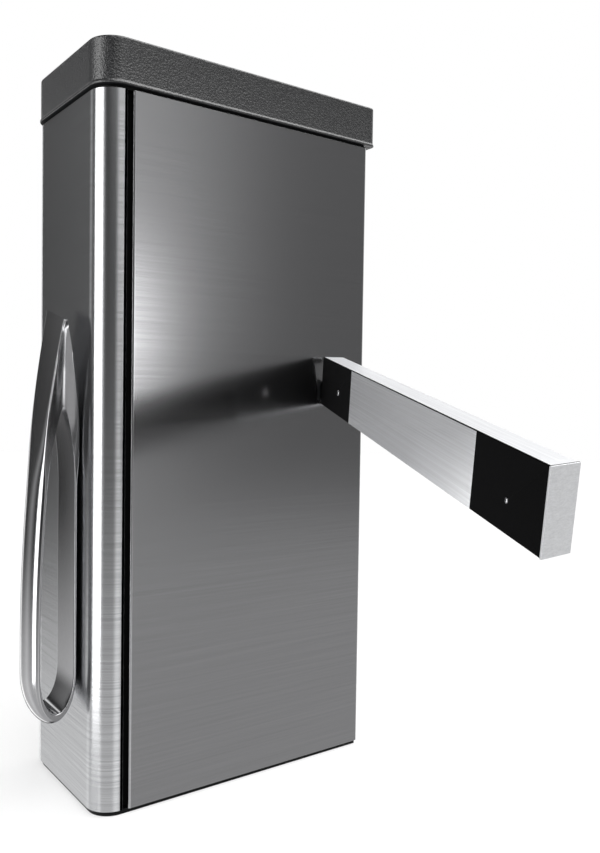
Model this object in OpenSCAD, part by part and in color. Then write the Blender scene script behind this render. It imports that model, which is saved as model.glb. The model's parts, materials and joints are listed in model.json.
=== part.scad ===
// Swing-arm barrier pedestal: a slim floor-standing cabinet with a brushed
// rounded front door, a loop pull handle, a moulded cap and a box-section
// barrier arm on a swing-and-tilt pivot at its wide right-hand side.
//
// Frame: origin on the floor at the centre of the anchor pattern, +Z up,
// -Y towards the door, +X towards the arm. Millimetres.

/* [Cabinet] */
// Width across the two side panels
body_w = 240; // [216:1:300]
// Depth from the door face to the rear edge of the side panels
body_d = 438; // [360:1:520]
// Height from the floor to the top of the cap
total_h = 1005; // [800:5:1200]
// Thickness of the folded sheet of panels, door and rear cover
sheet_t = 2; // [1.5:0.1:2.5]
// Outside radius of the two front corners
corner_r = 35; // [28:1:44]
// Thickness of the floor plate
base_t = 6; // [5:0.5:10]
// Thickness of the deck plate under the cap
deck_t = 4; // [2:0.5:5]
// How far the floor plate and the deck plate stand in from the outer faces
plinth_inset = 4; // [1:0.5:4]
// Side of the square corner posts and rails
post_s = 20; // [16:1:24]
// Wall of the corner posts
post_wall = 2; // [1.5:0.5:3]
// Width of the flanges folded along the edges of panels and door
flange_w = 14; // [10:1:18]

/* [Cap] */
// Height of the moulded cap
cap_h = 60; // [40:1:80]
// How far the cap stands out past the front and the sides
cap_over = 3; // [1:0.5:8]
// How far the cap stands out past the rear edge of the side panels
cap_back = 16; // [4:1:24]
// Wall of the cap
cap_wall = 4; // [3:0.5:6]
// Radius of the cap's rear corners
cap_rear_r = 9; // [6:1:20]
// Chamfer round the top edge of the cap
cap_edge = 3; // [2:0.5:8]

/* [Door] */
// Gap between the door's return and the side panels
door_gap = 9; // [7:0.5:14]
// Clearance under and over the door
door_clear = 1; // [1:0.5:4]
// Diameter of the door's pivot pins
door_pin_d = 8; // [6:0.5:10]
// Distance from the door's outer side to the pivot axis
pivot_in = 10; // [8.5:0.5:14]
// Distance from the door's return edge to the pivot axis
pivot_back = 7; // [6.5:0.5:8]
// Thickness of the door's end plates
end_plate_t = 3; // [2:0.5:5]

/* [Handle] */
// Width of the strap that the loop handle is made of
handle_w = 62; // [40:1:80]
// Distance from the cabinet's centre plane to the handle's near edge
handle_x = 62; // [50:1:70]
// How far the grip stands out from the door
handle_out = 62.5; // [50:0.5:75]
// Height of the lowest point of the loop
handle_bottom = 115; // [90:1:260]
// Height of the loop from its lowest point to its tip
handle_h = 550; // [420:5:580]
// Thickness of the grip leg
grip_t = 10; // [8:0.5:14]
// Thickness of the leg that lies on the door
back_t = 8.5; // [6:0.5:12]
// Thickness of the bend at the bottom
bend_t = 15; // [10:0.5:20]
// Diameter of the handle studs
stud_d = 8; // [6:1:10]

/* [Arm] */
// Length of the arm along its longer side face
arm_l = 673; // [450:1:800]
// Height of the arm's section
arm_h = 72; // [66:1:84]
// Thickness of the arm's section
arm_t = 32; // [30:0.5:40]
// Wall of the arm's box section
arm_wall = 2; // [1.5:0.25:2.5]
// Thickness of the cladding on the arm's side faces
clad_t = 1.5; // [1:0.25:2]
// Angle between the arm at rest and the normal of the side panel
arm_yaw = 23.6; // [0:0.1:25]
// Angle of the arm at rest below the horizontal
arm_droop = 9.3; // [0:0.1:10]
// Angle of the mitre at the arm's free end
tip_mitre = 22; // [0:1:35]
// Length of the black cladding at the arm's root
root_pad_l = 151; // [120:1:180]
// Length of the black cladding at the arm's tip
tip_pad_l = 126; // [90:1:160]
// Width of the bright rim left at the arm's tip
tip_rim = 3; // [1:0.5:8]

/* [Arm pivot] */
// Distance of the swing axis from the side panel's face
swing_out = 25; // [25:0.5:34]
// Distance of the swing axis from the cabinet's centre plane
swing_y = 142; // [120:1:160]
// Height of the pivot neck above the floor
neck_z = 562; // [400:1:700]
// Distance from the arm's root end to the swing axis, along the arm
root_back = 12; // [10:0.5:12]
// Distance from the arm's root end to the tilt pin, along the arm
tilt_at = 92; // [80:1:110]
// Distance of the tilt pin below the arm's middle line
tilt_drop = 4; // [0:0.5:5]
// Width of the pivot neck
neck_w = 9; // [8:0.5:10]
// Height of the pivot neck
neck_h = 22; // [18:1:24]
// Diameter of the swing pin
swing_pin_d = 10; // [8:0.5:10]
// Diameter of the tilt pin
tilt_pin_d = 8; // [6:0.5:10]
// Running clearance between a pin and its bore, on the diameter
fit = 0.1; // [0.04:0.02:0.2]

/* [Floor fixing] */
// Diameter of the anchor holes
anchor_d = 14; // [10:1:18]
// Anchor spacing across the cabinet
anchor_x = 130; // [90:1:150]
// Anchor spacing along the cabinet
anchor_y = 300; // [240:1:340]
// Diameter of the cable entry
cable_d = 60; // [40:1:80]

/* [Hidden] */
$fn = 64;
EPS = 0.01;          // overshoot of a cut past a face
SEAT = 0.3;          // gap between parts of different bodies that sit together

// cabinet
x_out = body_w / 2;
x_in = x_out - sheet_t;
y_front = -body_d / 2;
y_rear = body_d / 2;
door_back = y_front + corner_r + 0.5;
panel_front = door_back + door_gap;
deck_top = total_h - cap_h;
panel_top = deck_top - deck_t;
panel_h = panel_top - base_t;
post_x = x_in - post_s;
front_post_y = panel_front + sheet_t;
rear_post_y = y_rear - sheet_t - post_s;
rail_gap = 130;
rail_low_z = neck_z - rail_gap / 2 - post_s;
rail_high_z = neck_z + rail_gap / 2;
rail_l = rear_post_y - front_post_y - post_s;
rear_rail_t = 8;
cover_return = y_rear - sheet_t - rear_post_y - rear_rail_t - 4;

// door
door_bottom = base_t + door_clear;
door_top = panel_top - door_clear;
door_h = door_top - door_bottom;
pivot_x = -x_out + pivot_in;
pivot_y = door_back - pivot_back;
pin_reach = 14;      // how far a pivot pin goes into the door

// handle: radii of the long bows of its grip leg and back leg
tip_z = handle_bottom + handle_h;
bend_h = 0.115 * handle_h;
grip_bow_z = handle_bottom + 0.19 * handle_h;
back_bow_z = handle_bottom + 0.59 * handle_h;
tip_out = 22;
tip_slope = 17;      // the tip's far corner stands this much above its near corner
eye_top = handle_bottom + 0.76 * handle_h;
eye_round = 0.187 * handle_h;
stud_z = [handle_bottom + 0.2 * handle_h, handle_bottom + 0.5 * handle_h];
stud_x = handle_x - handle_w / 2;
nut_d = 13;
nut_h = 6.5;

// arm, in its own frame: x along the arm from the root end, y to its far side
swing_x = x_out + swing_out;
core_t = arm_t - 2 * clad_t;
cavity_t = core_t - 2 * arm_wall;
cavity_h = arm_h - 2 * arm_wall;
clad_h = arm_h - 1.6;
clad_joint = 0.4;
tilt_reach = (tilt_at - root_back) * cos(arm_droop) - tilt_drop * sin(arm_droop);
tilt_z = neck_z - tilt_drop;
tip_cut = arm_t * tan(tip_mitre);
beam_l = arm_l - tip_cut - 6;
fork_w = cavity_t - 3;
fork_plate = 6;
fork_half = neck_h / 2 + SEAT + fork_plate;
notch_l = root_back + neck_w / 2 + 5;
notch_h = 60;
bush_wall = 1.5;
window_y = neck_w + 6;
window_z = neck_h + 6;
mount_t = 6;
mount_l = 110;
flange_t = 8;
flange_y = 60;
flange_z = 64;
bolt_d = 8;
bolt_pitch_y = 44;
bolt_pitch_z = 46;
clear_hole = 0.4;
screw_tip_at = arm_l - 62;

// inside
equip_t = 3;
equip_z = 230;
equip_h = 460;
equip_l = 250;
equip_y = -150;
board_w = 160;
board_h = 150;
board_gap = 10;
board_hole_in = 8;
supply_size = [48, 200, 110];
gland_bore = 30;
lock_z = 520;
lock_d = 22;
lock_core_d = 10;
cam_w = 14;
cam_t = 4;
cam_l = 46;
cam_y = rear_post_y - cam_t - 3;

// ---------------------------------------------------------------- shapes

// Plan of the cabinet between y0 and y1: half width w, front corners of radius r
module plan(w, y0, y1, r) intersection() {
    union() {
        translate([-w, y0 + r]) square([2 * w, y1 - y0]);
        translate([r - w, y0]) square([2 * (w - r), r + EPS]);
        for (s = [-1, 1]) translate([s * (w - r), y0 + r]) circle(r);
    }
    translate([-w, y0]) square([2 * w, y1 - y0]);
}

// Plan of the cap, moved in from its outer face by d
module cap_plan(d) {
    w = x_out + cap_over - d;
    y0 = y_front - cap_over + d;
    y1 = y_rear + cap_back - d;
    rr = cap_rear_r - d / 2;
    plan(w, y0, y1 - rr, corner_r + cap_over - d);
    translate([-w + rr, y1 - rr - EPS]) square([2 * (w - rr), rr + EPS]);
    for (s = [-1, 1]) translate([s * (w - rr), y1 - rr]) circle(rr);
}

// Upright rod with its foot at z
module rod(x, y, z, d, h) translate([x, y, z]) cylinder(d = d, h = h);

// Rod along X, starting at x
module rod_x(x, y, z, d, h) translate([x, y, z]) rotate([0, 90, 0]) cylinder(d = d, h = h);

// Rod along Y, starting at y
module rod_y(x, y, z, d, h) translate([x, y, z]) rotate([-90, 0, 0]) cylinder(d = d, h = h);

// Places its children in the swung frame: origin on the swing axis, x outwards
module swung() translate([swing_x, swing_y, 0]) rotate([0, 0, -arm_yaw]) children();

// Places its children in the arm's own frame: x along the arm from its root
// end, y across to the far side, z up from its middle line
module on_arm() swung() translate([tilt_reach, 0, tilt_z]) rotate([0, arm_droop, 0])
    translate([-tilt_at, 0, tilt_drop]) children();

// Square tube standing at the corner x, y
module post(x, y) translate([x, y, base_t]) difference() {
    cube([post_s, post_s, panel_h]);
    translate([post_wall, post_wall, -EPS])
        cube([post_s - 2 * post_wall, post_s - 2 * post_wall, panel_h + 2 * EPS]);
}

// ---------------------------------------------------------------- chassis

module base_plate() color("#1b1c1d") difference() {
    linear_extrude(base_t) plan(x_out - plinth_inset, y_front + plinth_inset,
        y_rear - plinth_inset / 2, corner_r - plinth_inset);
    for (x = [-1, 1], y = [-1, 1])
        rod(x * anchor_x / 2, y * anchor_y / 2, -EPS, anchor_d, base_t + 2 * EPS);
    rod(0, 0, -EPS, cable_d, base_t + 2 * EPS);
}

module corner_posts() color("#2a2b2d") for (y = [front_post_y, rear_post_y]) {
    post(post_x, y);
    post(-x_in, y);
}

module side_rails() color("#2a2b2d") for (x = [post_x, -x_in], z = [rail_low_z, rail_high_z])
    translate([x, front_post_y + post_s, z]) cube([post_s, rail_l, post_s]);

// Bar between the rear posts that the lock's cam hooks behind
module rear_rail() color("#2a2b2d")
    translate([-post_x, rear_post_y, lock_z + lock_d / 2 + 4]) cube([2 * post_x, rear_rail_t, post_s]);

module top_deck() color("#141516") difference() {
    translate([0, 0, panel_top]) linear_extrude(deck_t)
        plan(x_out - plinth_inset, y_front + plinth_inset, y_rear - plinth_inset / 2,
            corner_r - plinth_inset);
    rod(pivot_x, pivot_y, panel_top - EPS, door_pin_d, deck_t + 2 * EPS);
    for (p = cap_screw_at()) rod(p[0], p[1], panel_top - EPS, 4 + clear_hole, deck_t + 2 * EPS);
}

// Places of the cap screws
function cap_screw_at() = [for (x = [-1, 1], y = [-1, 1]) [x * (x_in - 38), y * (y_rear - 50)]];

module cap() color("#2f3032") {
    difference() {
        union() {
            translate([0, 0, deck_top]) linear_extrude(cap_h - cap_edge) cap_plan(0);
            hull() {
                translate([0, 0, total_h - cap_edge - EPS]) linear_extrude(EPS) cap_plan(0, $fn = 32);
                translate([0, 0, total_h - EPS]) linear_extrude(EPS) cap_plan(cap_edge, $fn = 32);
            }
        }
        translate([0, 0, deck_top - EPS]) linear_extrude(cap_h - cap_edge - cap_wall)
            cap_plan(cap_wall + cap_over + plinth_inset);
    }
    for (p = cap_screw_at()) difference() {
        rod(p[0], p[1], deck_top, 12, cap_h - cap_edge - 1);
        rod(p[0], p[1], deck_top - EPS, 4, 16);
    }
}

module cap_screws() color("#9a9c9f") for (p = cap_screw_at()) {
    rod(p[0], p[1], panel_top - 3, 8, 3);
    rod(p[0], p[1], panel_top - EPS, 4, deck_t + 14);
}

// ---------------------------------------------------------------- covers

// Folded side panel whose outer face is at x_out
module side_panel() {
    translate([x_in, panel_front, base_t]) cube([sheet_t, y_rear - panel_front, panel_h]);
    translate([x_in - flange_w, panel_front, base_t]) cube([flange_w + EPS, sheet_t, panel_h]);
    translate([x_in - flange_w, y_rear - sheet_t, base_t]) cube([flange_w + EPS, sheet_t, panel_h]);
}

module side_panel_right() color("#6f7173") difference() {
    side_panel();
    translate([x_in - EPS, swing_y - window_y / 2, neck_z - window_z / 2])
        cube([sheet_t + 2 * EPS, window_y, window_z]);
}

module side_panel_left() color("#6f7173") mirror([1, 0, 0]) side_panel();

module rear_cover() color("#6a6c6e") difference() {
    w = x_in - flange_w - 1;
    union() {
        translate([-w, y_rear - sheet_t, base_t]) cube([2 * w, sheet_t, panel_h]);
        for (s = [-1, 1])
            translate([s * (post_x - 2) - sheet_t / 2, y_rear - sheet_t - cover_return, base_t + 4])
                cube([sheet_t, cover_return + EPS, panel_h - 8]);
    }
    for (k = [0 : 7]) translate([-60, y_rear - sheet_t - EPS, 60 + 12 * k])
        cube([120, sheet_t + 2 * EPS, 5]);
    rod_y(0, y_rear - sheet_t - EPS, lock_z, lock_d, sheet_t + 2 * EPS);
}

module lock_barrel() color("#b5b7b9") {
    difference() {
        union() {
            rod_y(0, y_rear, lock_z, lock_d + 6, 3);
            rod_y(0, y_rear - 24, lock_z, lock_d - 2 * fit, 24 + EPS);
        }
        rod_y(0, y_rear - 24 - EPS, lock_z, lock_core_d, 30);
    }
}

// Core and cam of the rear lock: they turn together in the barrel
module lock_cam() color("#8a8c8e") {
    difference() {
        rod_y(0, cam_y - 1, lock_z, lock_core_d - fit, y_rear + 2.5 - cam_y + 1);
        translate([-1, y_rear - 2, lock_z - 3.5]) cube([2, 10, 7]);
    }
    translate([-cam_w / 2, cam_y, lock_z - 8]) cube([cam_w, cam_t, cam_l]);
}

// ---------------------------------------------------------------- door

module door_seal() color("#0c0c0d") {
    h = panel_h - 8;
    for (s = [-1, 1]) {
        w = s > 0 ? flange_w - 4 : flange_w - 6;
        x = s > 0 ? x_in - flange_w + 1 : -x_in + 6;
        reach = s > 0 ? door_gap - SEAT : 1.6;
        translate([x, panel_front - reach, base_t + 4]) cube([w, reach, h]);
    }
}

module door_catch() color("#303234") {
    translate([post_x - 6, front_post_y, 470]) cube([6, post_s, 60]);
    translate([post_x - 20, door_back + 3, 476]) cube([14 + 6, front_post_y - door_back - 3 + 8, 48]);
}

module door_strike() color("#c2c4c6") {
    translate([post_x - 22, door_back + 3 - SEAT - 2, 472]) cube([24, 2, 56]);
    translate([post_x - 22, y_front + sheet_t, 472]) cube([2, door_back + 3 - SEAT - y_front - sheet_t, 56]);
}

module hinge_pin_lower() color("#a7a9ab") {
    rod(pivot_x, pivot_y, base_t, 15, door_clear - SEAT);
    rod(pivot_x, pivot_y, base_t, door_pin_d, door_clear + pin_reach);
}

module hinge_pin_upper() color("#a7a9ab")
    rod(pivot_x, pivot_y, panel_top - door_clear - pin_reach, door_pin_d, door_clear + pin_reach + deck_t);

module door_shell() color("#b9bbbc") difference() {
    translate([0, 0, door_bottom]) difference() {
        linear_extrude(door_h) plan(x_out, y_front, door_back, corner_r);
        translate([0, 0, -EPS]) linear_extrude(door_h + 2 * EPS)
            plan(x_in, y_front + sheet_t, door_back - sheet_t, corner_r - sheet_t);
        translate([-x_in + flange_w - 6, door_back - sheet_t - EPS, -EPS])
            cube([2 * (x_in - flange_w) + 6, sheet_t + 2 * EPS, door_h + 2 * EPS]);
    }
    for (z = stud_z) rod_y(stud_x, y_front - EPS, z, stud_d + clear_hole, sheet_t + 2 * EPS);
}

module door_end_plates() color("#3a3b3d") {
    for (z = [door_bottom, door_top - end_plate_t]) difference() {
        translate([0, 0, z]) linear_extrude(end_plate_t)
            plan(x_in, y_front + sheet_t, door_back - sheet_t, corner_r - sheet_t);
        rod(pivot_x, pivot_y, z - EPS, door_pin_d + fit, end_plate_t + 2 * EPS);
    }
}

// Distance from the door of the grip leg's outer face, at height z
function grip_out(z) = handle_out - (handle_out - tip_out)
    * pow(max(0, z - grip_bow_z) / (tip_z - grip_bow_z), 2);

// Distance from the door of the back leg's rear face, at height z
function back_out(z) = tip_out * pow(max(0, z - back_bow_z) / (tip_z - back_bow_z), 2);

// Outline of the loop, out from the door and up
function loop_outline() = let (r = handle_out / 2, zc = handle_bottom + bend_h) concat(
    [for (a = [0 : 12 : 180]) [r - r * cos(a), zc - bend_h * sin(a)]],
    [for (k = [1 : 18]) let (z = zc + (tip_z - zc) * k / 18) [grip_out(z), z]],
    [for (k = [17 : -1 : 9]) let (z = zc + (tip_z - zc) * k / 18) [back_out(z), z]]);

// Half width and middle of the loop's eye at height z
function eye_half(z) = (grip_out(z) - grip_t - back_out(z) - back_t) / 2;
function eye_mid(z) = (grip_out(z) - grip_t + back_out(z) + back_t) / 2;
function eye_point(z, side, k) = [eye_mid(z) + side * k * eye_half(z), z];

// Outline of the eye: a round bottom, two long sides and a round top
function eye_outline() = let (zb = handle_bottom + bend_h, hb = bend_h - bend_t,
    zt = eye_top - eye_round) concat(
    [for (a = [-90 : 10 : 0]) eye_point(zb + hb * sin(a), 1, cos(a))],
    [for (k = [1 : 8]) eye_point(zb + (zt - zb) * k / 8, 1, 1)],
    [for (a = [10 : 10 : 170]) eye_point(zt + eye_round * sin(a), a <= 90 ? 1 : -1, abs(cos(a)))],
    [for (k = [8 : -1 : 0]) eye_point(zb + (zt - zb) * k / 8, -1, 1)],
    [for (a = [10 : 10 : 80]) eye_point(zb - hb * sin(a), -1, cos(a))]);

module handle_loop() color("#8f9193") difference() {
    translate([handle_x, y_front, 0]) rotate([90, 0, -90]) linear_extrude(handle_w) difference() {
        polygon(loop_outline());
        polygon(eye_outline());
    }
    translate([handle_x, y_front - handle_out - 1, tip_z - tip_slope])
        rotate([0, -atan(tip_slope / handle_w), 180])
            translate([-1, -handle_out - 2, 0]) cube([2 * handle_w, handle_out + 4, tip_slope + 10]);
    for (z = stud_z) rod_y(stud_x, y_front - back_t + 2, z, stud_d, back_t);
}

module handle_studs() color("#a5a7a9") for (z = stud_z) {
    rod_y(stud_x, y_front - back_t + 2, z, stud_d, back_t + sheet_t + nut_h + 2);
    rod_y(stud_x, y_front + sheet_t, z, nut_d, nut_h, $fn = 6);
}

// ---------------------------------------------------------------- arm pivot

// Steel plate behind the side panel that carries the pivot bracket
module arm_mount_plate() color("#3b3c3e") difference() {
    translate([x_in - mount_t, rear_post_y - mount_l, rail_low_z + post_s]) cube([mount_t, mount_l, rail_gap]);
    translate([x_in - mount_t - EPS, swing_y - neck_w / 2 - 1, neck_z - neck_h / 2 - 1])
        cube([mount_t + 2 * EPS, neck_w + 2, neck_h + 2]);
    for (p = bracket_bolt_at()) rod_x(x_in - mount_t - EPS, p[0], p[1], bolt_d, mount_t + 2 * EPS);
}

// Places of the bracket bolts across and up
function bracket_bolt_at() = [for (y = [-1, 1], z = [-1, 1])
    [swing_y + y * bolt_pitch_y / 2, neck_z + z * bolt_pitch_z / 2]];

// Flange, neck and eye that hold the swing pin
module pivot_bracket() color("#1a1a1b") difference() {
    union() {
        translate([x_in - mount_t - flange_t, swing_y - flange_y / 2, neck_z - flange_z / 2])
            cube([flange_t, flange_y, flange_z]);
        translate([x_in - mount_t - EPS, swing_y - neck_w / 2, neck_z - neck_h / 2])
            cube([mount_t + sheet_t + swing_out + EPS, neck_w, neck_h]);
        rod(swing_x, swing_y, neck_z - neck_h / 2, swing_pin_d + 8, neck_h);
    }
    rod(swing_x, swing_y, neck_z - neck_h / 2 - EPS, swing_pin_d, neck_h + 2 * EPS);
    for (p = bracket_bolt_at())
        rod_x(x_in - mount_t - flange_t - EPS, p[0], p[1], bolt_d + clear_hole, flange_t + 2 * EPS);
}

module bracket_bolts() color("#9fa1a3") for (p = bracket_bolt_at()) {
    rod_x(x_in - mount_t - flange_t - bolt_d * 0.65, p[0], p[1], bolt_d * 1.6, bolt_d * 0.65);
    rod_x(x_in - mount_t - flange_t - EPS, p[0], p[1], bolt_d, flange_t + mount_t - 0.5);
}

module swing_pin() color("#c3c5c7")
    rod(swing_x, swing_y, neck_z - fork_half - 1, swing_pin_d, 2 * fork_half + 2);

// Fork on the swing pin, with the tongue that reaches forward to the tilt pin
module arm_carrier() color("#202122") swung() difference() {
    union() {
        for (z = [-fork_half, fork_half - fork_plate]) translate([0, 0, neck_z + z]) {
            cylinder(d = fork_w, h = fork_plate);
            translate([0, -fork_w / 2, 0]) cube([fork_w, fork_w, fork_plate]);
        }
        translate([fork_w / 2 + 2, -fork_w / 2, neck_z - fork_half])
            cube([fork_w / 2, fork_w, 2 * fork_half]);
        translate([fork_w, -fork_w / 2, tilt_z - 12])
            cube([tilt_reach + 14 - fork_w, fork_w, 28]);
    }
    translate([0, 0, neck_z - fork_half - EPS])
        cylinder(d = swing_pin_d + 2 * bush_wall, h = 2 * fork_half + 2 * EPS);
    translate([tilt_reach, -fork_w / 2 - EPS, tilt_z]) rotate([-90, 0, 0])
        cylinder(d = tilt_pin_d, h = fork_w + 2 * EPS);
}

module swing_bushes() color("#a08a55") swung()
    for (z = [-fork_half, fork_half - fork_plate]) translate([0, 0, neck_z + z]) difference() {
        cylinder(d = swing_pin_d + 2 * bush_wall, h = fork_plate);
        translate([0, 0, -EPS]) cylinder(d = swing_pin_d + fit, h = fork_plate + 2 * EPS);
    }

module tilt_pin() color("#d8dadc") swung() translate([tilt_reach, 0, tilt_z])
    rod_y(0, -arm_t / 2 + SEAT, 0, tilt_pin_d, arm_t - 2 * SEAT);

// ---------------------------------------------------------------- arm

// Hole across the arm at distance x from its root end, z above its middle
module cross_hole(x, z, d) rod_y(x, -arm_t, z, d, 2 * arm_t);

// Opening in the far side that the neck enters when the arm swings back
module neck_notch() translate([-EPS, cavity_t / 2 - EPS, -notch_h / 2])
    cube([notch_l + EPS, arm_t, notch_h]);

module tilt_bushes() color("#a08a55") on_arm() for (s = [-1, 1]) difference() {
    rod_y(tilt_at, s * (core_t - arm_wall) / 2 - arm_wall / 2, -tilt_drop, tilt_pin_d + 2 * bush_wall, arm_wall);
    cross_hole(tilt_at, -tilt_drop, tilt_pin_d + fit);
}

module arm_beam() color("#c9cbcc") on_arm() difference() {
    translate([0, -core_t / 2, -arm_h / 2]) cube([beam_l, core_t, arm_h]);
    translate([-EPS, -cavity_t / 2, -cavity_h / 2]) cube([beam_l + 2 * EPS, cavity_t, cavity_h]);
    cross_hole(tilt_at, -tilt_drop, tilt_pin_d + 2 * bush_wall);
    cross_hole(screw_tip_at, -8, 5);
    neck_notch();
}

// Cladding strip from x0 to x1 along side s: -1 is the near side, 1 the far one
module clad(s, x0, x1) translate([x0, s > 0 ? core_t / 2 : -arm_t / 2, -clad_h / 2])
    cube([x1 - x0, clad_t, clad_h]);

// Length of the arm on side s, which the mitre makes shorter on the far side
function side_l(s) = s < 0 ? arm_l : arm_l - tip_cut;
function tip_pad_at() = arm_l - tip_rim - tip_pad_l;

module root_pads() color("#0d0d0e") on_arm() difference() {
    for (s = [-1, 1]) clad(s, 0, root_pad_l);
    cross_hole(tilt_at, -tilt_drop, tilt_pin_d + 1);
    neck_notch();
}

module arm_side_plates() color("#b4b6b8") on_arm()
    for (s = [-1, 1]) clad(s, root_pad_l + clad_joint, tip_pad_at() - clad_joint);

module tip_pads() color("#0d0d0e") on_arm() difference() {
    for (s = [-1, 1]) clad(s, tip_pad_at(), side_l(s) - tip_rim);
    cross_hole(screw_tip_at, -8, 5);
}

module pad_screws() color("#d8dadc") on_arm() for (s = [-1, 1])
    rod_y(screw_tip_at, s > 0 ? cavity_t / 2 : -arm_t / 2 - 0.4, -8, 5, clad_t + arm_wall + 0.4);

module arm_end_cap() color("#c4c6c7") on_arm() {
    translate([0, 0, -arm_h / 2]) linear_extrude(arm_h) polygon([
        [beam_l, -core_t / 2], [side_l(-1) - tip_rim, -core_t / 2],
        [side_l(-1) - tip_rim, -arm_t / 2], [side_l(-1), -arm_t / 2],
        [side_l(1), arm_t / 2], [side_l(1) - tip_rim, arm_t / 2],
        [side_l(1) - tip_rim, core_t / 2], [beam_l, core_t / 2]]);
    translate([beam_l - 12, -cavity_t / 2 + 0.1, -cavity_h / 2 + 0.1])
        cube([12 + EPS, cavity_t - 0.2, cavity_h - 0.2]);
}

// ---------------------------------------------------------------- inside

module equipment_plate() color("#777a7d")
    translate([-post_x, equip_y, equip_z]) cube([equip_t, equip_l, equip_h]);

// Places of the board's fixing holes along and up
function board_hole_at() = [for (y = [board_hole_in, board_w - board_hole_in],
    z = [board_hole_in, board_h - board_hole_in])
    [equip_y + 20 + y, rail_low_z + post_s + z - 60]];

module board_spacers() color("#c8a24a") for (p = board_hole_at())
    rod_x(-post_x + equip_t, p[0], p[1], 6, board_gap);

module control_board() color("#1f5a36") {
    x = -post_x + equip_t + board_gap;
    y = equip_y + 20;
    z = rail_low_z + post_s - 60;
    difference() {
        translate([x, y, z]) cube([1.6, board_w, board_h]);
        for (p = board_hole_at()) rod_x(x - EPS, p[0], p[1], 3.2, 2);
    }
    for (k = [0 : 2]) translate([x + 1.6 - EPS, y + 24 + 42 * k, z + 40]) cube([12, 28, 46]);
    translate([x + 1.6 - EPS, y + 20, z + 104]) cube([14, 110, 20]);
}

module power_supply() color("#a9abad")
    translate([-post_x + equip_t, equip_y + 20, equip_z + 20]) cube(supply_size);

module terminal_block() color("#d5d0c2") {
    translate([-post_x + equip_t, equip_y + 20, equip_z + equip_h - 60]) cube([6, 180, 35]);
    for (k = [0 : 11]) translate([-post_x + equip_t + 6 - EPS, equip_y + 40 + 10 * k, equip_z + equip_h - 64])
        cube([32, 9.4, 43]);
}

module cable_gland() color("#161617") difference() {
    union() {
        rod(0, 0, 0, cable_d - clear_hole, base_t + EPS);
        rod(0, 0, base_t, cable_d + 14, 5);
    }
    rod(0, 0, -EPS, gland_bore, base_t + 6);
}

base_plate();
corner_posts();
side_rails();
rear_rail();
top_deck();
cap();
cap_screws();
side_panel_right();
side_panel_left();
rear_cover();
lock_barrel();
lock_cam();
door_seal();
door_catch();
hinge_pin_lower();
hinge_pin_upper();
door_shell();
door_end_plates();
door_strike();
handle_loop();
handle_studs();
arm_mount_plate();
pivot_bracket();
bracket_bolts();
swing_pin();
arm_carrier();
swing_bushes();
tilt_pin();
tilt_bushes();
arm_beam();
arm_side_plates();
root_pads();
tip_pads();
arm_end_cap();
pad_screws();
equipment_plate();
control_board();
board_spacers();
power_supply();
terminal_block();
cable_gland();
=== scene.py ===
"""Looks of a swing-arm barrier pedestal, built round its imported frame.

A slim stainless cabinet with a rounded brushed door, a loop pull handle, a
grained moulded cap and a box-section aluminium arm on a swing-and-tilt pivot.
The frame's own axes are kept: +Z up, -Y to the door and +X to the arm. The
scene is in metres. Classes hold the sizes of each sub-assembly in millimetres,
finishes are frozen dataclasses, and each new surface is a numpy grid.
"""

from __future__ import annotations

import json
import logging
import math
from dataclasses import dataclass, field
from enum import Enum

import bmesh
import bpy
import numpy as np
from bpy.types import Material, Mesh, Node, NodeSocket, NodeTree, Object
from mathutils import Euler, Matrix, Vector


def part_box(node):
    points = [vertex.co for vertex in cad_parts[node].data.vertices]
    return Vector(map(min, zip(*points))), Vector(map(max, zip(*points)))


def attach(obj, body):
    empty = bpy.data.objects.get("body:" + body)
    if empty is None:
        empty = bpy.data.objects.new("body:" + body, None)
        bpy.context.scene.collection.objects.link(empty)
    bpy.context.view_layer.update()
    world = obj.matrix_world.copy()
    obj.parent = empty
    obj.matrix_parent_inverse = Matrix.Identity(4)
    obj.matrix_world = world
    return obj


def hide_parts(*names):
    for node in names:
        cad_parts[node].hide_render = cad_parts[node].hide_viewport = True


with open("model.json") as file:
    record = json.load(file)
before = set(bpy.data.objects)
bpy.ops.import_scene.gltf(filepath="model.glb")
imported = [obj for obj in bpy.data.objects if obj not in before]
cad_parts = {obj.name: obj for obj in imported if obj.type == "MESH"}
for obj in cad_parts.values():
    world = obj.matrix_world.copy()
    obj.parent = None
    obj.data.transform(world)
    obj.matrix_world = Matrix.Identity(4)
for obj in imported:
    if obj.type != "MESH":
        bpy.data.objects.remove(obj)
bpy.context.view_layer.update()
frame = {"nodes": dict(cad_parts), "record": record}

LOG = logging.getLogger("pedestal")
MM = 0.001
UV_NAME = "surface"
WHITE = (1.0, 1.0, 1.0, 1.0)
# The tilt pin's axis in the arm's own frame: millimetres along the arm and up from its middle line.
PIN_IN_ARM = (92.0, -4.0)
# The four ends of a Map Range node, and the span that holds most values of a noise texture.
RANGE = ("From Min", "From Max", "To Min", "To Max")
NOISE_SPAN = (0.3, 0.7)
BODY_OF = {node: body for body, nodes in frame["record"]["behaviour"]["bodies"].items() for node in nodes}


# ------------------------------------------------------------------ colours and nodes


def linear(code: str) -> tuple[float, float, float, float]:
    """Turns an sRGB hex colour into linear RGBA.

    Args:
        code: Six hex digits, with or without a leading hash.

    Returns:
        Red, green, blue and an alpha of one.
    """
    digits = code.lstrip("#")
    parts = [int(digits[k : k + 2], 16) / 255 for k in (0, 2, 4)]
    red, green, blue = (c / 12.92 if c <= 0.04045 else ((c + 0.055) / 1.055) ** 2.4 for c in parts)
    return red, green, blue, 1.0


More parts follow.
